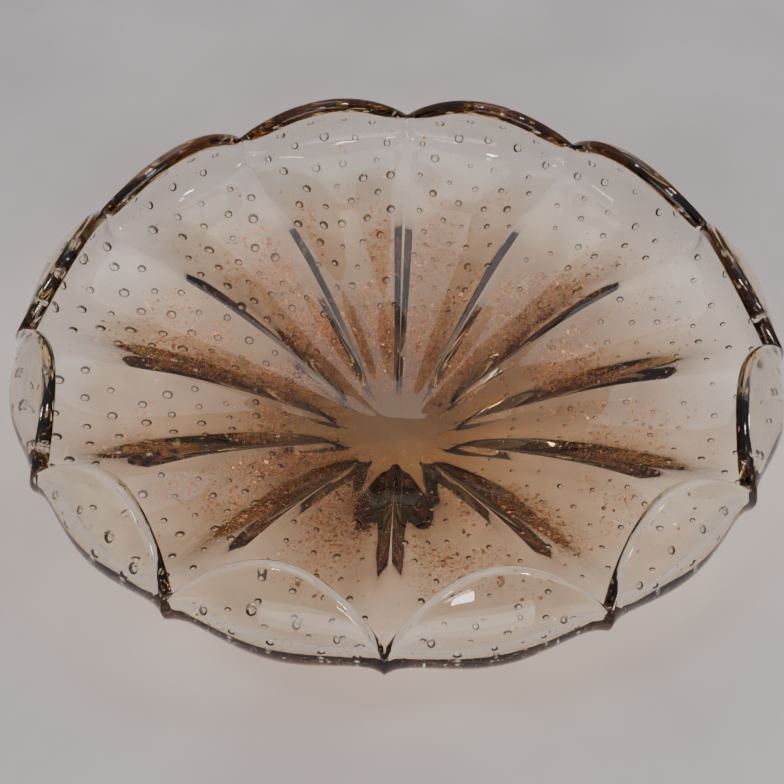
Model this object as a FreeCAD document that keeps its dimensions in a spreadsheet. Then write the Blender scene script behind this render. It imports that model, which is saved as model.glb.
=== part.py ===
"""Art glass bowl: a cased, hand-blown bowl with trapped bubbles, gold leaf and twelve lobes.

The bowl is two layers of clear glass. The inner gather is pricked with rows of small pits, rolled on
gold leaf, and covered by the outer casing, which closes the pits into bubbles. The casing is blown in
a ribbed mould, so its outside has twelve ribs with a deep groove between each two. The rim is then
crimped: it swings out and down at every groove, and rises and curls inwards between them. The
underside is ground flat.

Units are millimetres. +Z is up, and the origin is the centre of the ground face under the bowl.
"""

import FreeCAD, Part
import math
import os
import random

DIMENSIONS = [
    # alias, value, what it is
    ("lobe_count", 12, "lobes of the rim, and ribs under them"),
    ("notch_radius", 133.0, "inside edge of the rim at a notch"),
    ("notch_height", 50.5, "inside edge of the rim at a notch, above the table"),
    ("tip_radius", 121.0, "inside edge of the rim at the middle of a lobe"),
    ("tip_height", 68.0, "inside edge of the rim at the middle of a lobe, above the table"),
    ("base_height", 8.5, "inside bottom of the bowl, above the table"),
    ("valley_lead", 0.8, "how far a valley's outline runs ahead of a lobe's, so that both turn up together"),
    ("belly_radius", 134.0, "inside of a lobe where it is widest"),
    ("base_wall", 13.0, "glass thickness at the middle of the bottom, before grinding"),
    ("crest_wall", 9.0, "glass thickness at the crest of a rib, halfway up"),
    ("thick_end", 0.14, "share of the way to the rim where the thick bottom starts to thin"),
    ("wall_start", 0.45, "share of the way to the rim where the wall is as thick as a rib"),
    ("rib_share", 0.3, "share of the glass thickness by which a rib stands proud of its sides"),
    ("rib_start", 0.10, "share of the way to the rim where the ribs start to rise"),
    ("rib_full", 0.25, "share of the way to the rim where the ribs stand full"),
    ("rib_fade", 0.75, "share of the way to the rim where the ribs start to sink"),
    ("rib_end", 0.95, "share of the way to the rim where the ribs are gone"),
    ("wave_start", 0.03, "share of the way to the rim where the inside starts to wave"),
    ("wave_full", 0.20, "share of the way to the rim where the inside waves in full"),
    ("crimp_start", 0.66, "share of the way to the rim where the crimping starts to show"),
    ("crimp_power", 0.6, "flatness of the crimped lobes; 1 makes them round"),
    ("crimp_round", 0.22, "roundness of the notches; 0 makes them sharp creases"),
    ("rim_wall", 6.0, "glass thickness at the rim"),
    ("groove_wall", 3.2, "glass left at the floor of a groove"),
    ("groove_angle", 2.5, "half the angle that a groove's mouth takes up, in degrees"),
    ("groove_start", 15.0, "distance of a groove's inner end from the axis"),
    ("groove_end", 110.0, "distance of a groove's outer end from the axis"),
    ("groove_fade", 0.7, "share of that distance where a groove starts to run out"),
    ("gather_share", 0.50, "share of the glass that is the inner gather, at the bottom"),
    ("gather_rim_share", 0.24, "share of the glass that is the inner gather, near the rim"),
    ("gather_thins", 0.25, "share of the way to the rim where the gather starts to thin"),
    ("gather_thin", 0.90, "share of the way to the rim where the gather is thinnest"),
    ("leaf_gap", 0.3, "room between the two layers, where the gold leaf lies"),
    ("lip_width", 5.0, "width of the rim band that is casing glass only"),
    ("pit_radius", 1.25, "radius of the ball that fits a pricked pit"),
    ("pit_rise", 0.3, "height of that ball's centre above the middle of the leaf gap"),
    ("pit_rings", 6, "rings of pits"),
    ("first_pits", 0.30, "share of the way to the rim of the lowest ring of pits"),
    ("last_pits", 0.90, "share of the way to the rim of the highest ring of pits"),
    ("pits_per_lobe", 2, "pits of the first ring in each lobe; every other ring has one more"),
    ("flake_count", 260, "scraps of gold leaf"),
    ("flake_radius", 2.1, "largest half width of a scrap of leaf"),
    ("flake_thickness", 0.08, "thickness of a scrap of leaf"),
    ("flake_gap", 0.3, "least room between two scraps"),
    ("first_flakes", 0.14, "share of the way to the rim where the leaf starts"),
    ("last_flakes", 0.80, "share of the way to the rim where the leaf ends"),
    ("flake_bias", 0.85, "below 1, the leaf lies thicker up the wall; 1 spreads it evenly"),
    ("foot_radius", 60.0, "radius of the wheel that grinds the foot flat"),
    ("grind_depth", 6.0, "height of the stock that the grinding takes away"),
    ("pontil_radius", 40.0, "radius of the ball that polishes the pontil mark out"),
    ("pontil_depth", 0.8, "depth of the polished hollow"),
]

# Poles of the two outlines, as shares of the widest radius and of the rim's height. The first of each
# is where the level bottom ends, and only its radius counts.
VALLEY_POLES = ((0.21, 0.0), (0.42, 0.66), (0.72, 0.90), (1.02, 0.78))
LOBE_POLES = ((0.33, 0.0), (0.42, 0.72), (0.96, 0.36), (1.13, 0.60))

PROFILE_STEPS = 22      # rings of one skin, from the middle of the bowl to its rim
BEAD_STEPS = 8          # curves round the rim's bead
LIP_STEPS = (0.35, 0.7)     # curves on the lip, as shares of its width
TANGENT_STEP = 0.002    # step along and round the wall that finds how it leans
CENTRE_RADIUS = 4.0     # radius of the small flat that closes a skin at the axis
POINTS_ACROSS_GROOVE = (0.0, 0.5, 1.0)  # half a groove, in half widths
BALL_AXIS = FreeCAD.Vector(1.0, 0.2, 0.3)   # tilts a ball so that its seam clears the skin's edges
POINTS_ACROSS_RIB = 5   # further points from the groove's edge to the middle of the rib

LEAF_SEED = 12
FLAKE_CORNERS = (5, 7)      # fewest and most corners of a scrap of leaf
FLAKE_REACH = (0.55, 1.0)   # a corner's distance from the middle, as a share of the scrap's half width
FLAKE_SIZES = (0.35, 1.0)   # a scrap's half width, as a share of the largest


def make_sheet(doc):
    """Write the driving dimensions into a spreadsheet and return it."""
    sheet = doc.addObject("Spreadsheet::Sheet", "dimensions")
    for row, (alias, value, meaning) in enumerate(DIMENSIONS, start=1):
        sheet.set("A%d" % row, alias)
        sheet.set("B%d" % row, str(value))
        sheet.set("C%d" % row, meaning)
        sheet.setAlias("B%d" % row, alias)
    doc.recompute()
    return sheet


def smoothstep(low, high, value):
    share = min(max((value - low) / (high - low), 0.0), 1.0)
    return share * share * (3.0 - 2.0 * share)


class Profile:
    """A Bezier outline in the (radius, height) half plane, read by its share of arc length."""

    def __init__(self, poles):
        self.curve = Part.BezierCurve()
        self.curve.setPoles([FreeCAD.Vector(radius, 0, height) for radius, height in poles])
        self.length = self.curve.length()

    def at(self, share):
        """Return radius, height and the heading of the outline, in radians."""
        parameter = self.curve.parameterAtDistance(share * self.length, 0.0)
        point = self.curve.value(parameter)
        tangent = self.curve.tangent(parameter)[0]
        return point.x, point.z, math.atan2(tangent.z, tangent.x)


class Wall:
    """The shape of the glass: inside skin, wall thickness, lobes and grooves."""

    def __init__(self, sheet):
        self.size = sheet
        notch = (sheet.notch_radius, sheet.notch_height)
        tip = (sheet.tip_radius, sheet.tip_height)
        self.valley = self.outline(VALLEY_POLES, notch[0], notch)
        self.crest = self.outline(LOBE_POLES, sheet.belly_radius, tip)
        self.rows = {}
        self.angles = self.sector_angles()

    def outline(self, poles, widest, end):
        """An outline that leaves the axis level, follows the poles and ends at the rim."""
        base = self.size.base_height
        flat = [(0.0, base), (poles[0][0] * widest, base)]
        return Profile(flat + [(across * widest, up * end[1]) for across, up in poles[1:]] + [end])

    def row(self, share):
        """Return both outlines at one share of their length, worked out once."""
        if share not in self.rows:
            ahead = share + self.size.valley_lead * share * share * (1.0 - share)
            self.rows[share] = (self.valley.at(ahead), self.crest.at(share))
        return self.rows[share]

    def wave(self, angle):
        """0 at a groove and 1 at the middle of a rib."""
        return abs(math.sin(self.size.lobe_count / 2.0 * angle))

    def lobe(self, share, angle):
        """A soft wave low in the bowl, crimped into lobes with narrow notches towards the rim."""
        size, wave = self.size, self.wave(angle)
        crimp = math.hypot(wave ** size.crimp_power, size.crimp_round) - size.crimp_round
        crimp /= math.hypot(1.0, size.crimp_round) - size.crimp_round
        mix = smoothstep(size.crimp_start, 1.0, share)
        return (1.0 - mix) * wave * wave + mix * crimp

    def groove(self, radius, angle):
        """1 on the floor of a groove and 0 outside it."""
        size = self.size
        pitch = 2.0 * math.pi / size.lobe_count
        offset = abs((angle + pitch / 2.0) % pitch - pitch / 2.0)
        across = max(0.0, 1.0 - offset / math.radians(size.groove_angle))
        start = smoothstep(size.groove_start, 2.0 * size.groove_start, radius)
        end = 1.0 - smoothstep(size.groove_fade * size.groove_end, size.groove_end, radius)
        return across * start * end

    def thickness(self, share, radius, angle):
        size = self.size
        plain = size.base_wall
        plain += (size.crest_wall - size.base_wall) * smoothstep(size.thick_end, size.wall_start, share)
        plain += (size.rim_wall - size.crest_wall) * smoothstep(size.wall_start, 1.0, share)
        ribbed = smoothstep(size.rib_start, size.rib_full, share)
        ribbed *= 1.0 - smoothstep(size.rib_fade, size.rib_end, share)
        plain *= 1.0 - size.rib_share * ribbed * (1.0 - self.wave(angle) ** 2)
        return plain - (plain - size.groove_wall) * self.groove(radius, angle)

    def seam(self, share):
        """Depth of the seam between the two layers, which stretches thinner towards the rim."""
        size = self.size
        thinned = smoothstep(size.gather_thins, size.gather_thin, share)
        return size.gather_share + (size.gather_rim_share - size.gather_share) * thinned

    def frame_at(self, share, angle):
        """Return radius, height and heading of the inside skin."""
        (radius_a, height_a, heading_a), (radius_b, height_b, heading_b) = self.row(share)
        waved = smoothstep(self.size.wave_start, self.size.wave_full, share)
        mix = 0.5 + waved * (self.lobe(share, angle) - 0.5)
        return (radius_a + (radius_b - radius_a) * mix,
                height_a + (height_b - height_a) * mix,
                heading_a + (heading_b - heading_a) * mix)

    def point(self, share, angle, depth, gap=0.0, reach=0.0):
        """A point in the wall: depth 0 on the inside skin, 1 on the outside skin."""
        radius, height, heading = self.frame_at(share, angle)
        inwards = depth * self.thickness(share, radius, angle) + gap
        radius += inwards * math.sin(heading) + reach * math.cos(heading)
        height += -inwards * math.cos(heading) + reach * math.sin(heading)
        return FreeCAD.Vector(radius * math.cos(angle), radius * math.sin(angle), height)

    def sector_angles(self):
        """The angles of one rib's row of points, from groove to groove."""
        pitch = 2.0 * math.pi / self.size.lobe_count
        edge = math.radians(self.size.groove_angle)
        step = (pitch / 2.0 - edge) / POINTS_ACROSS_RIB
        half = [part * edge for part in POINTS_ACROSS_GROOVE]
        half += [edge + step * (index + 1) for index in range(POINTS_ACROSS_RIB)]
        return half + [pitch - angle for angle in reversed(half[:-1])]

    def arc(self, share, depth, gap=0.0, reach=0.0):
        """A smooth curve across one rib, from groove to groove."""
        points = [self.point(share, angle, depth, gap, reach) for angle in self.angles]
        curve = Part.BSplineCurve()
        curve.interpolate(Points=points, Parameters=self.angles)
        return Part.Wire([curve.toShape()])


def loft(arcs, ruled=False):
    return Part.makeLoft(arcs, False, ruled).Faces


def around(shapes, count):
    """Copies of one rib's shapes, turned about the axis to make the whole bowl."""
    turned = []
    for index in range(count):
        for shape in shapes:
            copy = shape.copy()
            copy.rotate(FreeCAD.Vector(), FreeCAD.Vector(0, 0, 1), 360.0 * index / count)
            turned.append(copy)
    return turned


def centre_cap(arc, count):
    """The small flat face that closes a skin at the axis."""
    return Part.Face(Part.Wire(Part.__sortEdges__(around(arc.Edges, count))))


def close_solid(faces):
    """Sew the faces into one solid that has its outside on the outside."""
    shell = Part.makeShell(faces)
    shell.sewShape()
    solid = Part.Solid(shell)
    if solid.Volume < 0:
        solid.reverse()
    return solid


def shares_to(last, wall):
    """Shares of the outline, from the flat at the axis to the last one asked for."""
    first = CENTRE_RADIUS / wall.valley.length
    return [first + (last - first) * step / PROFILE_STEPS for step in range(PROFILE_STEPS + 1)]


def lip_share(wall):
    """Where the inner gather ends, below the rim."""
    return 1.0 - wall.size.lip_width / wall.crest.length


def gather_blank(wall):
    """The inner gather before it is pricked."""
    shares = shares_to(lip_share(wall), wall)
    gap = -wall.size.leaf_gap / 2.0
    inside = [wall.arc(share, 0.0) for share in shares]
    outside = [wall.arc(share, wall.seam(share), gap) for share in shares]
    rib = loft(inside) + loft(outside) + loft([inside[-1], outside[-1]], ruled=True)
    count = int(wall.size.lobe_count)
    return close_solid(around(rib, count) + [centre_cap(skin[0], count) for skin in (inside, outside)])


def casing_blank(wall):
    """The outer casing before its foot is ground."""
    size = wall.size
    lip = lip_share(wall)
    shares = shares_to(lip, wall)
    inside = [wall.arc(share, wall.seam(share), size.leaf_gap / 2.0) for share in shares]
    outside = [wall.arc(share, 1.0) for share in shares]
    ledge = wall.arc(lip, 0.0)
    rib = loft(inside) + loft([inside[-1], ledge], ruled=True)
    rib += loft([ledge] + rim_arcs(wall, lip) + [outside[-1]]) + loft(outside)
    count = int(size.lobe_count)
    return close_solid(around(rib, count) + [centre_cap(skin[0], count) for skin in (inside, outside)])


def rim_arcs(wall, lip):
    """Curves up the inside of the lip, round its bead and down the outside."""
    bead = wall.size.rim_wall / 2.0
    climb = [lip + (1.0 - lip) * part for part in LIP_STEPS]
    arcs = [wall.arc(share, 0.0) for share in climb]
    for step in range(BEAD_STEPS + 1):
        turn = math.pi * step / BEAD_STEPS
        arcs.append(wall.arc(1.0, 0.5 - 0.5 * math.cos(turn), reach=bead * math.sin(turn)))
    return arcs + [wall.arc(share, 1.0) for share in reversed(climb)]


def pits(wall):
    """The balls that prick the pits, in staggered rings on the outside of the gather."""
    size = wall.size
    pitch = 2.0 * math.pi / size.lobe_count
    balls = []
    for ring in range(int(size.pit_rings)):
        share = size.first_pits + (size.last_pits - size.first_pits) * ring / (size.pit_rings - 1)
        in_lobe = int(size.pits_per_lobe) + ring % 2
        for place in range(1, in_lobe + 1):
            centre = wall.point(share, pitch * place / (in_lobe + 1), wall.seam(share), size.pit_rise)
            balls.append(Part.makeSphere(size.pit_radius, centre, BALL_AXIS))
    return Part.makeCompound(around(balls, int(size.lobe_count)))


def flake(wall, share, angle, radius, rng):
    """One scrap of leaf: an irregular flat polygon with a small thickness."""
    size = wall.size
    centre = wall.point(share, angle, wall.seam(share))
    above = share + TANGENT_STEP
    along = wall.point(above, angle, wall.seam(above)) - centre
    across = wall.point(share, angle + TANGENT_STEP, wall.seam(share)) - centre
    normal = along.cross(across).normalize()
    along.normalize()
    across = normal.cross(along)
    corners = rng.randint(*FLAKE_CORNERS)
    turn = rng.uniform(0.0, 2.0 * math.pi)
    outline = []
    for corner in range(corners):
        spread = radius * rng.uniform(*FLAKE_REACH)
        bearing = turn + 2.0 * math.pi * corner / corners
        outline.append(centre + along * (spread * math.cos(bearing))
                       + across * (spread * math.sin(bearing)) - normal * (size.flake_thickness / 2.0))
    face = Part.Face(Part.makePolygon(outline + outline[:1]))
    return face.extrude(normal * size.flake_thickness)


def gold_scraps(wall):
    """All scraps of leaf, thick over the bottom and thinner up the wall, none touching another."""
    size = wall.size
    rng = random.Random(LEAF_SEED)
    placed, solids = [], []
    while len(solids) < size.flake_count:
        climb = rng.random() ** size.flake_bias
        share = size.first_flakes + (size.last_flakes - size.first_flakes) * climb
        angle = rng.uniform(0.0, 2.0 * math.pi)
        radius = size.flake_radius * rng.uniform(*FLAKE_SIZES)
        centre = wall.point(share, angle, wall.seam(share))
        room = radius + size.flake_gap
        if all(centre.distanceToPoint(other) > room + reach for other, reach in placed):
            placed.append((centre, radius))
            solids.append(flake(wall, share, angle, radius, rng))
    return Part.makeCompound(solids)


def shape_feature(doc, name, shape):
    """A document object for a shape that only code can make."""
    feature = doc.addObject("Part::Feature", name)
    feature.Shape = shape
    feature.Placement = FreeCAD.Placement()
    return feature


def cut_feature(doc, label, base, tool):
    cut = doc.addObject("Part::Cut", label)
    cut.Base = base
    cut.Tool = tool
    cut.Label = label
    return cut


def make_inner_gather(doc, wall):
    blank = shape_feature(doc, "gather_blank", gather_blank(wall))
    pricks = shape_feature(doc, "gather_pits", pits(wall))
    return cut_feature(doc, "inner_gather", blank, pricks)


def make_outer_casing(doc, wall):
    """The casing, its foot ground flat on a wheel and its pontil mark polished out with a ball."""
    blank = shape_feature(doc, "casing_blank", casing_blank(wall))
    wheel = doc.addObject("Part::Cylinder", "grinding_wheel")
    wheel.setExpression("Radius", "dimensions.foot_radius")
    wheel.setExpression("Height", "dimensions.grind_depth")
    wheel.setExpression("Placement.Base.z", "-dimensions.grind_depth")
    ball = doc.addObject("Part::Sphere", "polishing_ball")
    ball.setExpression("Radius", "dimensions.pontil_radius")
    ball.setExpression("Placement.Base.z", "dimensions.pontil_depth - dimensions.pontil_radius")
    tools = doc.addObject("Part::Fuse", "foot_tools")
    tools.Base = wheel
    tools.Tool = ball
    return cut_feature(doc, "outer_casing", blank, tools)


def make_gold_flecks(doc, wall):
    flecks = shape_feature(doc, "gold_flecks", gold_scraps(wall))
    flecks.Label = "gold_flecks"
    return flecks


def check_document(doc, pieces):
    """Stop if any object failed or any piece is empty or not valid."""
    for item in doc.Objects:
        if "Invalid" in item.State or "Error" in item.State:
            raise RuntimeError("%s failed: %s" % (item.Name, item.State))
    for piece in pieces:
        if piece.Shape.isNull() or not piece.Shape.isValid() or not piece.Shape.Solids:
            raise RuntimeError("%s has no valid solid" % piece.Label)


def main():
    doc = FreeCAD.newDocument("art_glass_bowl")
    wall = Wall(make_sheet(doc))
    pieces = [make_inner_gather(doc, wall), make_outer_casing(doc, wall), make_gold_flecks(doc, wall)]
    doc.recompute()
    check_document(doc, pieces)
    os.makedirs("parts", exist_ok=True)
    for piece in pieces:
        box = piece.Shape.BoundBox
        print("%s: %d solids, %.1f cm3, box %.2f %.2f %.2f to %.2f %.2f %.2f" % (
            piece.Label, len(piece.Shape.Solids), piece.Shape.Volume / 1000.0,
            box.XMin, box.YMin, box.ZMin, box.XMax, box.YMax, box.ZMax))
        piece.Shape.exportStep("parts/%s.step" % piece.Label)


main()
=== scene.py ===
"""The looks of the art glass bowl: fused clear glass with its bubbles, an amber layer and gold leaf.

The two glass layers of the frame are fused in the real bowl, so light crosses no gap between them.
Here the glass is one closed mesh, worked out from the same outlines as the frame's solids, with the
trapped bubbles as closed hollows in it. The tint of the inner layer, which glassmakers call the
gather, is a second closed mesh inside the first, and it bends no light. The leaf lies on the seam
between the layers, as torn scraps and as dust. Lengths are metres unless a name says otherwise.
"""

import math
import random

import bmesh
import bpy
import numpy as np
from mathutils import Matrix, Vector, noise


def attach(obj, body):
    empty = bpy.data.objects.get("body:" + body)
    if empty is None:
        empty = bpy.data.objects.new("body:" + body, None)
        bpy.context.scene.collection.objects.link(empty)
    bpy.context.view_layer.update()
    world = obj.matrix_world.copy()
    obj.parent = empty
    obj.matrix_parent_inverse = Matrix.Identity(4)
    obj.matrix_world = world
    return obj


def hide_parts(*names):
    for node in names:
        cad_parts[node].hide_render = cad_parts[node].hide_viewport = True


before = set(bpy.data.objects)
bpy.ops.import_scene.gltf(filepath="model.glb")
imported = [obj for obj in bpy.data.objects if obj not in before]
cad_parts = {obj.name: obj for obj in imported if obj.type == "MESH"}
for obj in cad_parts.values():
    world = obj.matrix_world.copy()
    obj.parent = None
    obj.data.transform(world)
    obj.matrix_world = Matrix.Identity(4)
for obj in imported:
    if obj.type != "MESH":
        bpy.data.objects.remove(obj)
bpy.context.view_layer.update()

MM = 0.001

# The bowl's shape, with the values of the part's CAD source. A share of the outline is a share of the
# way from the axis to the rim, along the inside of the bowl.
LOBES = 12
PITCH = 2.0 * math.pi / LOBES
NOTCH = (133.0 * MM, 50.5 * MM)          # inside edge of the rim at a notch: radius, height
TIP = (121.0 * MM, 68.0 * MM)            # inside edge of the rim at the middle of a lobe
BASE_HEIGHT = 8.5 * MM
BELLY_RADIUS = 134.0 * MM
VALLEY_LEAD = 0.8                        # how far a valley's outline runs ahead of a lobe's
BASE_WALL = 13.0 * MM                    # thickness at the middle of the bottom, before grinding
CREST_WALL = 9.0 * MM                    # thickness at the crest of a rib
RIM_WALL = 6.0 * MM
THICK_END = 0.14                         # share of the outline where the thick bottom starts to thin
WALL_START = 0.45                        # share of the outline where the wall is as thick as a rib
RIB_SHARE = 0.3                          # share of the wall by which a rib stands proud
RIB_START, RIB_FULL = 0.10, 0.25         # shares of the outline where the ribs rise
RIB_FADE, RIB_END = 0.75, 0.95           # shares of the outline where they sink again
WAVE_START, WAVE_FULL = 0.03, 0.20       # shares of the outline between which the inside starts to wave
CRIMP_START = 0.66                       # share of the outline where the crimping starts to show
CRIMP_POWER = 0.6                        # flatness of the crimped lobes
CRIMP_ROUND = 0.22                       # roundness of the notches
GROOVE_WALL = 3.2 * MM
GROOVE_ANGLE = math.radians(2.5)         # half of what a groove's mouth takes up
GROOVE_START = 15.0 * MM
GROOVE_END = 110.0 * MM
GROOVE_FADE = 0.7                        # share of that distance where a groove starts to run out
GATHER_SHARE = 0.50                      # depth of the layers' seam at the bottom, as a share of the wall
GATHER_RIM_SHARE = 0.24                  # the same near the rim
GATHER_THINS, GATHER_THIN = 0.25, 0.90   # shares of the outline between which the one becomes the other
PONTIL_RADIUS = 40.0 * MM
PONTIL_DEPTH = 0.8 * MM

# Poles of the two outlines, as shares of the widest radius and of the rim's height. The first of each
# is where the level bottom ends, and only its radius counts.
VALLEY_POLES = ((0.21, 0.0), (0.42, 0.66), (0.72, 0.90), (1.02, 0.78))
LOBE_POLES = ((0.33, 0.0), (0.42, 0.72), (0.96, 0.36), (1.13, 0.60))

# How finely the glass is drawn.
OUTLINE_SAMPLES = 2001
FIRST_RING = 0.02                        # share of the outline at the ring nearest to the axis
RINGS = 78                               # rings of one skin, from there to the rim
BEAD_STEPS = 10                          # steps round the rim's bead
BEAD_REACH = 2.96 * MM                   # how far the round edge of the rim stands beyond the wall
STEPS_IN_GROOVE = 6                      # steps across half a groove
STEPS_ON_RIB = 8                         # steps from a groove's edge to the middle of the rib
TANGENT_STEP = 0.002                     # step along and round the wall that finds how it leans

# The tint of the inner layer. Depths are shares of the wall.
AMBER_INSET = 0.04                       # depth of its inside under the bowl's inside
AMBER_LEAST = 0.02                       # its least thickness
AMBER_THINS, AMBER_END = 0.62, 0.88      # shares of the outline between which it thins away

# The bubbles, in staggered rings.
BUBBLE_SEED = 5
BUBBLE_RINGS = 11
BUBBLES_PER_LOBE = 5
FIRST_BUBBLES = 0.27                     # share of the outline at the lowest ring
BUBBLE_CLIMB = 0.65                      # share of the outline from there to the highest ring
BUBBLE_STRAYS_UP = 0.006                 # how far a bubble strays from its ring, in the same shares
BUBBLE_STRAYS_ROUND = 0.12               # how far it strays along its ring, in steps of the ring
BUBBLE_RADIUS_MM = 0.75                  # radius near the axis
BUBBLE_GROWTH_MM = 0.95                  # what a bubble's radius gains on the way to the rim
BUBBLE_VARIES = (0.70, 1.25)
BUBBLE_LOPSIDED = 0.30                   # share by which bubbles are larger on one side of the bowl
LARGE_SIDE = 2.6                         # angle of that side, in radians
BUBBLE_CLEARANCE = 1.15                  # least distance from a groove's middle, in its half widths
BUBBLE_STRETCH = (1.12, 1.0, 0.72)       # along the outline, round the bowl and through the wall

# The gold leaf.
SCRAP_SEED, DUST_SEED = 7, 9
GOLD_SCRAPS, GOLD_DUST = 7000, 48000
FIRST_LEAF = 0.06                        # share of the outline where leaf may start
LEAF_CLIMB = 0.86                        # share of the outline from there to where it may end
LEAF_BIAS = 0.7                          # below 1, the leaf lies thicker up the wall
LEAF_TRIES = 4000                        # places that are tried at a time
CLOUD_SCALE = 30.0                       # the larger, the smaller the clouds of leaf
CLOUD_OCTAVES = 4
CLOUD_LEVEL, CLOUD_CONTRAST = 0.30, 1.5
CLOUD_INSIDE = (10.0 * MM, 50.0 * MM)    # distances from the axis between which the leaf gets denser
CLOUD_OUTSIDE = (70.0 * MM, 122.0 * MM)  # distances from the axis between which it gets sparser again
CLOUD_GROOVE = (0.8, 2.4)                # half widths of a groove, from its middle, where it gets denser
STRAY_LEAF = 0.015                       # what lies outside the clouds, anywhere on the seam
SCRAP_HALF = 0.02 * MM                   # half the thickness of a scrap at its middle
SCRAP_RADIUS_MM = 0.35                   # smallest half width of a scrap
SCRAP_GROWTH_MM = 0.9                    # how much more the largest has
SCRAP_BIAS = 3                           # above 1, most scraps are small
SCRAP_CORNERS = (4, 6)
SCRAP_TORN = (0.4, 1.0)                  # a corner's distance from the middle, as a share of the half width
SCRAP_LEAN = 0.3
DUST_RADIUS_MM = (0.14, 0.42)            # half width of a crumb
DUST_DEPTH = (-0.06, 0.04)               # how far a crumb strays from the seam, as a share of the wall
DUST_LEAN = 0.5

# The glass and the leaf. A density is how strongly a tint absorbs light along a metre of glass.
WHITE = (1.0, 1.0, 1.0)
CLEAR_IOR = 1.5
FUSED_IOR = 1.0                          # so that a layer that is fused to the clear glass bends nothing
CLEAR_TINT, CLEAR_DENSITY = (0.84, 0.60, 0.10), 27.0
AMBER_TINT, AMBER_DENSITY = (0.80, 0.58, 0.20), 62.0
CLEAR_SHADOW = (0.90, 0.88, 0.85)        # what a lamp's light keeps at each skin that it passes
AMBER_SHADOW = (0.97, 0.93, 0.88)
WEAR_SCALE, WEAR_DETAIL = 45.0, 3.0
WEAR = [(0.35, (0.0, 0.0, 0.0)), (0.8, (0.03, 0.03, 0.03))]
WAVES_SCALE, WAVES_DETAIL = 28.0, 1.0
WAVES_STRENGTH, WAVES_HEIGHT = 0.5, 1.2 * MM
HAZE_AND_SHADE_SCALE, HAZE_AND_SHADE_DETAIL = 30.0, 4.0
HAZE_AND_SHADE_RAGGED = 0.11                       # how much the clouds shift the edge of the haze and painted shade
# Base colour of the amber layer by distance from the axis, darker in the middle: partly the haze of the
# finest leaf, partly painted shade of the shadow under the bowl.
LEAF_HAZE_AND_SHADE = [(0.065, (0.38, 0.34, 0.32)), (0.10, (0.52, 0.44, 0.38)),
        (0.145, (0.74, 0.67, 0.60)), (0.185, WHITE)]
LEAF_SCALE, LEAF_DETAIL = 900.0, 2.0
LEAF_TONES = [(0.30, (0.30, 0.13, 0.06)), (0.45, (0.52, 0.25, 0.12)),
              (0.60, (0.72, 0.41, 0.21)), (0.75, (0.92, 0.66, 0.38))]
LEAF_ROUGHNESS = [(0.2, (0.5, 0.5, 0.5)), (0.8, (0.25, 0.25, 0.25))]

# The studio.
FLOOR_HALF = 2.5
FLOOR_DROP = 0.2 * MM                    # keeps the floor's face clear of the ground foot
FLOOR_SCALE, FLOOR_DETAIL = 9.0, 5.0
FLOOR_TONES = [(0.3, (0.42, 0.37, 0.37)), (0.7, (0.53, 0.475, 0.475))]
FLOOR_ROUGHNESS = 0.6
ROOM_TONES = [(0.0, (0.34, 0.24, 0.15)), (0.15, (0.36, 0.29, 0.22)),
              (0.45, (0.40, 0.39, 0.41)), (1.0, (0.58, 0.61, 0.68))]
ROOM_BEHIND = (0.46, 0.44, 0.44)         # what the camera sees past the floor's edge
ROOM_STRENGTH = 0.9
LAMPS = [
    # name, place, the point that it faces, width and depth, power, colour
    ("softbox_above", (0.1, 0.6, 1.7), (0.0, 0.0, 0.0), (1.4, 1.0), 6.5, (0.96, 0.97, 1.0)),
    ("window_front", (0.1, -1.6, 0.35), (0.0, 0.0, 0.05), (2.4, 0.6), 13.0, (0.78, 0.86, 1.0)),
    ("lamp_front", (0.25, -1.45, 1.05), (0.0, 0.0, 0.05), (0.34, 0.16), 6.0, (1.0, 0.99, 0.97)),
    ("key_left", (-0.55, -0.5, 1.4), (0.0, 0.0, 0.03), (0.18, 0.18), 7.0, (1.0, 0.98, 0.95)),
    ("key_right", (1.0, -0.25, 1.25), (0.0, 0.0, 0.03), (0.18, 0.18), 6.0, (1.0, 0.98, 0.95)),
]
CAMERA_ELEVATION = math.radians(47.3)
CAMERA_TURN = math.radians(1.5)
CAMERA_DISTANCE = 0.600
CAMERA_FOOT = (0.0, 0.0, 0.002)          # the point that the distance is measured from
CAMERA_RAISE = 0.0173                    # how far above that point the camera aims, as it sees it
CAMERA_SHIFT = 0.0021                    # and how far to the left of it
CAMERA_LENS_MM, CAMERA_SENSOR_MM = 71.7, 36.0


def smoothstep(low, high, value):
    share = np.clip((value - low) / (high - low), 0.0, 1.0)
    return share * share * (3.0 - 2.0 * share)


class Outline:
    """A Bezier outline in the (radius, height) half plane, read by its share of arc length."""

    def __init__(self, poles, widest, end):
        flat = [(0.0, BASE_HEIGHT), (poles[0][0] * widest, BASE_HEIGHT)]
        poles = flat + [(across * widest, up * end[1]) for across, up in poles[1:]] + [end]
        along = np.linspace(0.0, 1.0, OUTLINE_SAMPLES)[:, None]
        points = [np.array(pole)[None, :] + 0.0 * along for pole in poles]
        while len(points) > 1:
            points = [(1.0 - along) * low + along * high for low, high in zip(points, points[1:])]
        self.points = points[0]
        steps = np.linalg.norm(np.diff(self.points, axis=0), axis=1)
        arc = np.concatenate([[0.0], np.cumsum(steps)])
        self.shares = arc / arc[-1]
        slope = np.gradient(self.points, axis=0)
        self.headings = np.unwrap(np.arctan2(slope[:, 1], slope[:, 0]))

    def at(self, share):
        """Radius, height and heading, each as an array like share."""
        return (np.interp(share, self.shares, self.points[:, 0]),
                np.interp(share, self.shares, self.points[:, 1]),
                np.interp(share, self.shares, self.headings))


VALLEY = Outline(VALLEY_POLES, NOTCH[0], NOTCH)
CREST = Outline(LOBE_POLES, BELLY_RADIUS, TIP)


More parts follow.
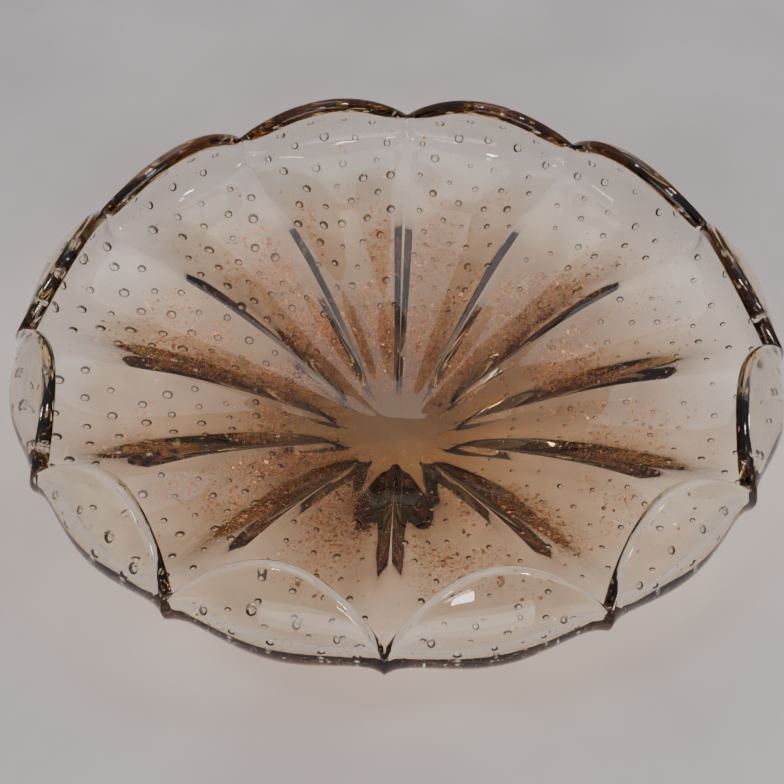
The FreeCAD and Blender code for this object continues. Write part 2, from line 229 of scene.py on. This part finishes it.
def lobe(share, angle):
    """A soft wave low in the bowl, crimped into lobes with narrow notches towards the rim."""
    wave = np.abs(np.sin(LOBES / 2.0 * angle))
    crimp = np.hypot(wave ** CRIMP_POWER, CRIMP_ROUND) - CRIMP_ROUND
    crimp /= math.hypot(1.0, CRIMP_ROUND) - CRIMP_ROUND
    mix = smoothstep(CRIMP_START, 1.0, share)
    return (1.0 - mix) * wave * wave + mix * crimp


def groove_offset(angle):
    """The angle from the nearest groove's middle."""
    return np.abs((angle + PITCH / 2.0) % PITCH - PITCH / 2.0)


def groove(radius, angle):
    """1 on the floor of a groove and 0 outside it."""
    across = np.maximum(0.0, 1.0 - groove_offset(angle) / GROOVE_ANGLE)
    start = smoothstep(GROOVE_START, 2.0 * GROOVE_START, radius)
    end = 1.0 - smoothstep(GROOVE_FADE * GROOVE_END, GROOVE_END, radius)
    return across * start * end


def thickness(share, radius, angle):
    """Thickness of the glass: thick at the bottom and on the ribs, and thin in the grooves."""
    plain = BASE_WALL + (CREST_WALL - BASE_WALL) * smoothstep(THICK_END, WALL_START, share)
    plain = plain + (RIM_WALL - CREST_WALL) * smoothstep(WALL_START, 1.0, share)
    ribbed = smoothstep(RIB_START, RIB_FULL, share) * (1.0 - smoothstep(RIB_FADE, RIB_END, share))
    plain = plain * (1.0 - RIB_SHARE * ribbed * np.cos(LOBES / 2.0 * angle) ** 2)
    return plain - (plain - GROOVE_WALL) * groove(radius, angle)


def inside_at(share, angle):
    """Radius, height and heading of the inside skin, between a valley's outline and a lobe's."""
    radius_a, height_a, heading_a = VALLEY.at(share + VALLEY_LEAD * share * share * (1.0 - share))
    radius_b, height_b, heading_b = CREST.at(share)
    mix = 0.5 + smoothstep(WAVE_START, WAVE_FULL, share) * (lobe(share, angle) - 0.5)
    return (radius_a + (radius_b - radius_a) * mix,
            height_a + (height_b - height_a) * mix,
            heading_a + (heading_b - heading_a) * mix)


def wall_point(share, angle, depth, reach=0.0):
    """Points in the wall: depth 0 on the inside skin, 1 on the outside skin."""
    radius, height, heading = inside_at(share, angle)
    into_glass = depth * thickness(share, radius, angle)
    radius = radius + into_glass * np.sin(heading) + reach * np.cos(heading)
    height = height - into_glass * np.cos(heading) + reach * np.sin(heading)
    return np.stack([radius * np.cos(angle), radius * np.sin(angle), height], axis=-1)


def seam(share):
    """Depth of the seam between the two layers, which stretches thinner towards the rim."""
    return GATHER_SHARE + (GATHER_RIM_SHARE - GATHER_SHARE) * smoothstep(GATHER_THINS, GATHER_THIN, share)


def surface_frame(share, angle, depth):
    """Points in the wall, and the unit vectors along, across and out of it, a row for each."""
    here = wall_point(share, angle, depth)
    along = wall_point(share + TANGENT_STEP, angle, depth) - here
    across = wall_point(share, angle + TANGENT_STEP, depth) - here
    along /= np.linalg.norm(along, axis=1)[:, None]
    normal = np.cross(along, across)
    normal /= np.linalg.norm(normal, axis=1)[:, None]
    return here, along, np.cross(normal, along), normal


def new_object(name, points, faces, smooth):
    data = bpy.data.meshes.new(name)
    data.from_pydata(points, [], faces)
    if smooth:
        data.shade_smooth()
    piece = bpy.data.objects.new(name, data)
    bpy.context.scene.collection.objects.link(piece)
    return piece


# The glass.


def ring_angles():
    """The columns of the mesh, closer together in each groove."""
    in_groove = [GROOVE_ANGLE * step / STEPS_IN_GROOVE for step in range(STEPS_IN_GROOVE)]
    rib = (PITCH / 2.0 - GROOVE_ANGLE) / STEPS_ON_RIB
    half = in_groove + [GROOVE_ANGLE + rib * step for step in range(STEPS_ON_RIB + 1)]
    sector = half + [PITCH - angle for angle in reversed(half[1:-1])]
    return np.array([index * PITCH + angle for index in range(LOBES) for angle in sector])


def skin_shares():
    """Shares of the outline at the rings of a skin."""
    return np.linspace(FIRST_RING, 1.0, RINGS)


def ring(share, angles, depth, reach=0.0):
    return wall_point(np.full_like(angles, share), angles, depth, reach)


def ground_flat(points):
    """Grind the underside flat and polish a shallow hollow in the middle of it."""
    radius = np.hypot(points[..., 0], points[..., 1])
    hollow = PONTIL_DEPTH - PONTIL_RADIUS + np.sqrt(np.maximum(PONTIL_RADIUS ** 2 - radius ** 2, 0.0))
    points[..., 2] = np.maximum(points[..., 2], np.maximum(hollow, 0.0))
    return points


def casing_rings(angles):
    """Every ring of the closed skin: up the inside, round the rim's bead and down the outside."""
    shares = skin_shares()
    rings = [ring(share, angles, 0.0) for share in shares]
    for step in range(1, BEAD_STEPS):
        turn = math.pi * step / BEAD_STEPS
        rings.append(ring(1.0, angles, 0.5 - 0.5 * math.cos(turn), BEAD_REACH * math.sin(turn)))
    return rings + [ground_flat(ring(share, angles, 1.0)) for share in reversed(shares)]


def gather_rings(angles):
    """The inner layer just under the inside skin, down to the seam between the layers."""
    shares = skin_shares()
    shares = shares[shares <= AMBER_END]
    faded = 1.0 - smoothstep(AMBER_THINS, AMBER_END, shares)
    depths = AMBER_INSET + (seam(shares) - AMBER_INSET) * faded
    inside = [ring(share, angles, AMBER_INSET) for share in shares]
    outside = [ring(share, angles, max(depth, AMBER_INSET + AMBER_LEAST))
               for share, depth in zip(reversed(shares), reversed(depths))]
    return inside + outside


def closed_skin(rings):
    """The points and faces of a closed skin through rings that start and end near the axis."""
    columns = len(rings[0])
    points = np.concatenate(rings + [rings[0].mean(axis=0)[None], rings[-1].mean(axis=0)[None]])
    faces = []
    for low in range(0, columns * (len(rings) - 1), columns):
        for index in range(columns):
            after = (index + 1) % columns
            faces.append((low + after, low + index, low + columns + index, low + columns + after))
    last = columns * (len(rings) - 1)
    for index in range(columns):
        after = (index + 1) % columns
        faces.append((index, after, len(points) - 2))
        faces.append((last + after, last + index, len(points) - 1))
    return points, faces


def ball_template():
    """The points and triangles of a ball of radius 1."""
    mesh = bmesh.new()
    bmesh.ops.create_icosphere(mesh, subdivisions=2, radius=1.0)
    points = np.array([vert.co for vert in mesh.verts])
    faces = [[vert.index for vert in face.verts] for face in mesh.faces]
    mesh.free()
    return points, faces


def bubble_places(rng):
    """Share, angle and size of every bubble, in staggered rings that keep off the grooves."""
    places = []
    around = LOBES * BUBBLES_PER_LOBE
    for row in range(BUBBLE_RINGS):
        for index in range(around):
            share = FIRST_BUBBLES + BUBBLE_CLIMB * row / (BUBBLE_RINGS - 1)
            share += rng.uniform(-BUBBLE_STRAYS_UP, BUBBLE_STRAYS_UP)
            step = index + 0.5 * (row % 2) + rng.uniform(-BUBBLE_STRAYS_ROUND, BUBBLE_STRAYS_ROUND)
            angle = 2.0 * math.pi * step / around
            size = (BUBBLE_RADIUS_MM + BUBBLE_GROWTH_MM * share) * MM * rng.uniform(*BUBBLE_VARIES)
            size *= 1.0 + BUBBLE_LOPSIDED * math.cos(angle - LARGE_SIDE)
            if groove_offset(angle) > BUBBLE_CLEARANCE * GROOVE_ANGLE:
                places.append((share, angle, size))
    return np.array(places)


def bubble_mesh(rng):
    """The trapped bubbles: slightly flattened hollows between the layers, facing inwards."""
    share, angle, size = bubble_places(rng).T
    centre, along, across, normal = surface_frame(share, angle, seam(share))
    ball, triangles = ball_template()
    local = ball[None] * np.array(BUBBLE_STRETCH) * size[:, None, None]
    frames = np.stack([along, across, normal], axis=1)
    points = centre[:, None] + np.einsum("bpk,bkx->bpx", local, frames)
    faces = [tuple(corner + bubble * len(ball) for corner in reversed(triangle))
             for bubble in range(len(size)) for triangle in triangles]
    return points.reshape(-1, 3), faces


def make_casing():
    """The fused glass as a whole, with its bubbles."""
    skin, skin_faces = closed_skin(casing_rings(ring_angles()))
    bubbles, bubble_faces = bubble_mesh(random.Random(BUBBLE_SEED))
    bubble_faces = [tuple(corner + len(skin) for corner in face) for face in bubble_faces]
    return new_object("clear_casing", np.concatenate([skin, bubbles]), skin_faces + bubble_faces, True)


def make_gather():
    """The amber inner layer, inside the fused glass."""
    points, faces = closed_skin(gather_rings(ring_angles()))
    return new_object("amber_gather", points, faces, True)


# The gold leaf.


def gold_cloud(point):
    """How thick the leaf lies at a point: dense over the bottom, in torn clouds up the wall."""
    cloud = noise.fractal(Vector(point) * CLOUD_SCALE, 1.0, 2.0, CLOUD_OCTAVES)
    radius = math.hypot(point[0], point[1])
    near, far = (widths * GROOVE_ANGLE for widths in CLOUD_GROOVE)
    spread = smoothstep(*CLOUD_INSIDE, radius) * (1.0 - smoothstep(*CLOUD_OUTSIDE, radius))
    spread *= smoothstep(near, far, groove_offset(math.atan2(point[1], point[0])))
    return spread * (CLOUD_LEVEL + CLOUD_CONTRAST * cloud) + STRAY_LEAF


def scatter(rng, count):
    """Shares and angles of points on the seam, as thick as the cloud of leaf is there."""
    places = []
    while len(places) < count:
        tries = np.array([(FIRST_LEAF + LEAF_CLIMB * rng.random() ** LEAF_BIAS,
                           rng.uniform(0.0, 2.0 * math.pi)) for _ in range(LEAF_TRIES)])
        points = wall_point(tries[:, 0], tries[:, 1], seam(tries[:, 0]))
        places += [place for place, point in zip(tries, points) if rng.random() < gold_cloud(point)]
    return np.array(places[:count]).T


def tilted(first, second, out, rng, lean):
    """Two unit vectors in the plane of a scrap that leans a little from the seam, and its normal."""
    normal = out + first * rng.uniform(-lean, lean) + second * rng.uniform(-lean, lean)
    normal /= np.linalg.norm(normal)
    first = np.cross(second, normal)
    first /= np.linalg.norm(first)
    return first, np.cross(normal, first), normal


def make_gold_leaf():
    """Scraps of leaf: thin closed chips, each torn at the edge and thickest in the middle."""
    rng = random.Random(SCRAP_SEED)
    share, angle = scatter(rng, GOLD_SCRAPS)
    frames = surface_frame(share, angle, seam(share))
    points, faces = [], []
    for place, first, second, out in zip(*frames):
        first, second, normal = tilted(first, second, out, rng, SCRAP_LEAN)
        size = MM * (SCRAP_RADIUS_MM + SCRAP_GROWTH_MM * rng.random() ** SCRAP_BIAS)
        corners = rng.randint(*SCRAP_CORNERS)
        start = rng.uniform(0.0, 2.0 * math.pi)
        base = len(points)
        for corner in range(corners):
            bearing = start + 2.0 * math.pi * corner / corners
            reach = size * rng.uniform(*SCRAP_TORN)
            points.append(place + reach * (first * math.cos(bearing) + second * math.sin(bearing)))
            after = base + (corner + 1) % corners
            faces.append((base + corner, after, base + corners))
            faces.append((after, base + corner, base + corners + 1))
        points += [place + normal * SCRAP_HALF, place - normal * SCRAP_HALF]
    return new_object("gold_leaf", points, faces, False)


def make_gold_dust():
    """The finest crumbs of leaf: four-sided chips, too small to have an outline of their own."""
    rng = random.Random(DUST_SEED)
    share, angle = scatter(rng, GOLD_DUST)
    depth = seam(share) + np.array([rng.uniform(*DUST_DEPTH) for _ in share])
    frames = surface_frame(share, angle, depth)
    points, faces = [], []
    for place, first, second, out in zip(*frames):
        first, second, normal = tilted(first, second, out, rng, DUST_LEAN)
        size = MM * rng.uniform(*DUST_RADIUS_MM)
        start = rng.uniform(0.0, 2.0 * math.pi)
        base = len(points)
        for corner in range(3):
            bearing = start + 2.0 * math.pi * corner / 3.0
            points.append(place + size * (first * math.cos(bearing) + second * math.sin(bearing)))
        points.append(place + normal * 3.0 * SCRAP_HALF)
        faces += [(base, base + 2, base + 1), (base, base + 1, base + 3),
                  (base + 1, base + 2, base + 3), (base + 2, base, base + 3)]
    return new_object("gold_dust", points, faces, False)


# The materials.


def solid(colour):
    return (*colour, 1.0)


def set_inputs(node, values):
    for name, value in values.items():
        node.inputs[name].default_value = value


def noise_node(tree, scale, detail):
    place = tree.nodes.new("ShaderNodeTexCoord")
    texture = tree.nodes.new("ShaderNodeTexNoise")
    set_inputs(texture, {"Scale": scale, "Detail": detail})
    tree.links.new(place.outputs["Object"], texture.inputs["Vector"])
    return texture


def ramp_node(tree, source, stops):
    ramp = tree.nodes.new("ShaderNodeValToRGB")
    while len(ramp.color_ramp.elements) < len(stops):
        ramp.color_ramp.elements.new(0.5)
    for element, (place, colour) in zip(ramp.color_ramp.elements, stops):
        element.position = place
        element.color = solid(colour)
    tree.links.new(source, ramp.inputs["Fac"])
    return ramp


class Look:
    """A material with one Principled shader, and the steps that several materials share."""

    def __init__(self, name):
        self.material = bpy.data.materials.new(name)
        self.material.use_nodes = True
        self.tree = self.material.node_tree
        self.tree.nodes.clear()
        self.output = self.tree.nodes.new("ShaderNodeOutputMaterial")
        self.shader = self.tree.nodes.new("ShaderNodeBsdfPrincipled")
        self.link(self.shader.outputs["BSDF"], self.output.inputs["Surface"])

    def link(self, source, target):
        self.tree.links.new(source, target)

    def ramp_into(self, socket, source, stops):
        """Drive one of the shader's sockets by a ramp of the source."""
        ramp = ramp_node(self.tree, source, stops)
        self.link(ramp.outputs["Color"], self.shader.inputs[socket])

    def absorb_light(self, colour, density):
        """Tint the inside of a glass by how far light goes through it."""
        absorb = self.tree.nodes.new("ShaderNodeVolumeAbsorption")
        set_inputs(absorb, {"Color": solid(colour), "Density": density})
        self.link(absorb.outputs["Volume"], self.output.inputs["Volume"])

    def let_lamps_through(self, colour):
        """Let the light of lamps reach what lies behind or under the glass."""
        path = self.tree.nodes.new("ShaderNodeLightPath")
        clear = self.tree.nodes.new("ShaderNodeBsdfTransparent")
        set_inputs(clear, {"Color": solid(colour)})
        mix = self.tree.nodes.new("ShaderNodeMixShader")
        self.link(path.outputs["Is Shadow Ray"], mix.inputs["Fac"])
        self.link(self.shader.outputs["BSDF"], mix.inputs[1])
        self.link(clear.outputs["BSDF"], mix.inputs[2])
        self.link(mix.outputs["Shader"], self.output.inputs["Surface"])


def glass_material():
    """Clear glass, amber through a long way of it, with the soft waviness of hand work."""
    look = Look("clear_amber_glass")
    set_inputs(look.shader, {"Base Color": solid(WHITE), "Transmission Weight": 1.0, "IOR": CLEAR_IOR})
    wear = noise_node(look.tree, WEAR_SCALE, WEAR_DETAIL)
    look.ramp_into("Roughness", wear.outputs["Fac"], WEAR)
    waves = noise_node(look.tree, WAVES_SCALE, WAVES_DETAIL)
    bump = look.tree.nodes.new("ShaderNodeBump")
    set_inputs(bump, {"Strength": WAVES_STRENGTH, "Distance": WAVES_HEIGHT})
    look.link(waves.outputs["Fac"], bump.inputs["Height"])
    look.link(bump.outputs["Normal"], look.shader.inputs["Normal"])
    look.absorb_light(CLEAR_TINT, CLEAR_DENSITY)
    look.let_lamps_through(CLEAR_SHADOW)
    return look.material


def gather_material():
    """Amber glass fused to the clear glass around it, darkened in the middle by leaf haze and by painted
    shade.
    """
    look = Look("amber_gather_glass")
    set_inputs(look.shader, {"Transmission Weight": 1.0, "IOR": FUSED_IOR,
                             "Roughness": 0.0, "Specular IOR Level": 0.0})
    place = look.tree.nodes.new("ShaderNodeTexCoord")
    distance = look.tree.nodes.new("ShaderNodeVectorMath")
    distance.operation = "LENGTH"
    look.link(place.outputs["Object"], distance.inputs[0])
    cloud = noise_node(look.tree, HAZE_AND_SHADE_SCALE, HAZE_AND_SHADE_DETAIL)
    ragged = look.tree.nodes.new("ShaderNodeMath")
    ragged.operation = "MULTIPLY_ADD"
    look.link(cloud.outputs["Fac"], ragged.inputs[0])
    ragged.inputs[1].default_value = HAZE_AND_SHADE_RAGGED
    look.link(distance.outputs["Value"], ragged.inputs[2])
    # The darkening in the middle is partly leaf haze and partly painted shade.
    look.ramp_into("Base Color", ragged.outputs["Value"], LEAF_HAZE_AND_SHADE)
    look.absorb_light(AMBER_TINT, AMBER_DENSITY)
    look.let_lamps_through(AMBER_SHADOW)
    return look.material


def gold_material():
    """Gold leaf that has crept and darkened in the heat: gold, copper and brown by turns."""
    look = Look("gold_leaf")
    set_inputs(look.shader, {"Metallic": 1.0})
    tone = noise_node(look.tree, LEAF_SCALE, LEAF_DETAIL)
    look.ramp_into("Base Color", tone.outputs["Fac"], LEAF_TONES)
    look.ramp_into("Roughness", tone.outputs["Fac"], LEAF_ROUGHNESS)
    return look.material


def floor_material():
    look = Look("pale_floor")
    set_inputs(look.shader, {"Roughness": FLOOR_ROUGHNESS})
    cloud = noise_node(look.tree, FLOOR_SCALE, FLOOR_DETAIL)
    look.ramp_into("Base Color", cloud.outputs["Fac"], FLOOR_TONES)
    return look.material


# The studio.


def make_floor():
    corners = [(-FLOOR_HALF, -FLOOR_HALF, 0.0), (FLOOR_HALF, -FLOOR_HALF, 0.0),
               (FLOOR_HALF, FLOOR_HALF, 0.0), (-FLOOR_HALF, FLOOR_HALF, 0.0)]
    floor = new_object("floor", corners, [(0, 1, 2, 3)], False)
    floor.location.z = -FLOOR_DROP
    floor.data.materials.append(floor_material())


def make_world():
    """A soft room: pale above and warmer towards the horizon. The camera itself sees one pale colour."""
    world = bpy.data.worlds.new("studio")
    bpy.context.scene.world = world
    world.use_nodes = True
    tree = world.node_tree
    background = tree.nodes["Background"]
    place = tree.nodes.new("ShaderNodeTexCoord")
    split = tree.nodes.new("ShaderNodeSeparateXYZ")
    tree.links.new(place.outputs["Generated"], split.inputs["Vector"])
    ramp = ramp_node(tree, split.outputs["Z"], ROOM_TONES)
    path = tree.nodes.new("ShaderNodeLightPath")
    pick = tree.nodes.new("ShaderNodeMix")
    pick.data_type = "RGBA"
    seen_by_light, seen_by_camera = [socket for socket in pick.inputs if socket.type == "RGBA"]
    picked = [socket for socket in pick.outputs if socket.type == "RGBA"][0]
    tree.links.new(path.outputs["Is Camera Ray"], pick.inputs[0])
    tree.links.new(ramp.outputs["Color"], seen_by_light)
    seen_by_camera.default_value = solid(ROOM_BEHIND)
    tree.links.new(picked, background.inputs["Color"])
    background.inputs["Strength"].default_value = ROOM_STRENGTH


def turn_towards(thing, point):
    """Turn a lamp or the camera towards a point."""
    thing.rotation_euler = (Vector(point) - thing.location).to_track_quat("-Z", "Y").to_euler()


def area_light(name, place, aim, size, power, colour):
    data = bpy.data.lights.new(name, "AREA")
    data.shape = "RECTANGLE"
    data.size, data.size_y = size
    data.energy = power
    data.color = colour
    light = bpy.data.objects.new(name, data)
    light.location = place
    turn_towards(light, aim)
    light.visible_camera = False
    bpy.context.scene.collection.objects.link(light)


def make_camera():
    """The viewing angle of someone who stands over the bowl and looks down into it."""
    back = Vector((math.sin(CAMERA_TURN) * math.cos(CAMERA_ELEVATION),
                   -math.cos(CAMERA_TURN) * math.cos(CAMERA_ELEVATION), math.sin(CAMERA_ELEVATION)))
    right = Vector((math.cos(CAMERA_TURN), math.sin(CAMERA_TURN), 0.0))
    up = back.cross(right)
    data = bpy.data.cameras.new("camera")
    data.lens, data.sensor_width = CAMERA_LENS_MM, CAMERA_SENSOR_MM
    camera = bpy.data.objects.new("camera", data)
    foot = Vector(CAMERA_FOOT)
    camera.location = foot + back * CAMERA_DISTANCE
    turn_towards(camera, foot + up * CAMERA_RAISE - right * CAMERA_SHIFT)
    bpy.context.scene.collection.objects.link(camera)
    bpy.context.scene.camera = camera


def finish_piece(piece, material, node):
    piece.data.materials.append(material)
    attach(piece, "root")
    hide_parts(node)


gold = gold_material()
finish_piece(make_casing(), glass_material(), "outer_casing")
finish_piece(make_gather(), gather_material(), "inner_gather")
finish_piece(make_gold_leaf(), gold, "gold_flecks")
finish_piece(make_gold_dust(), gold, "gold_flecks")

make_floor()
make_world()
for lamp in LAMPS:
    area_light(*lamp)
make_camera()
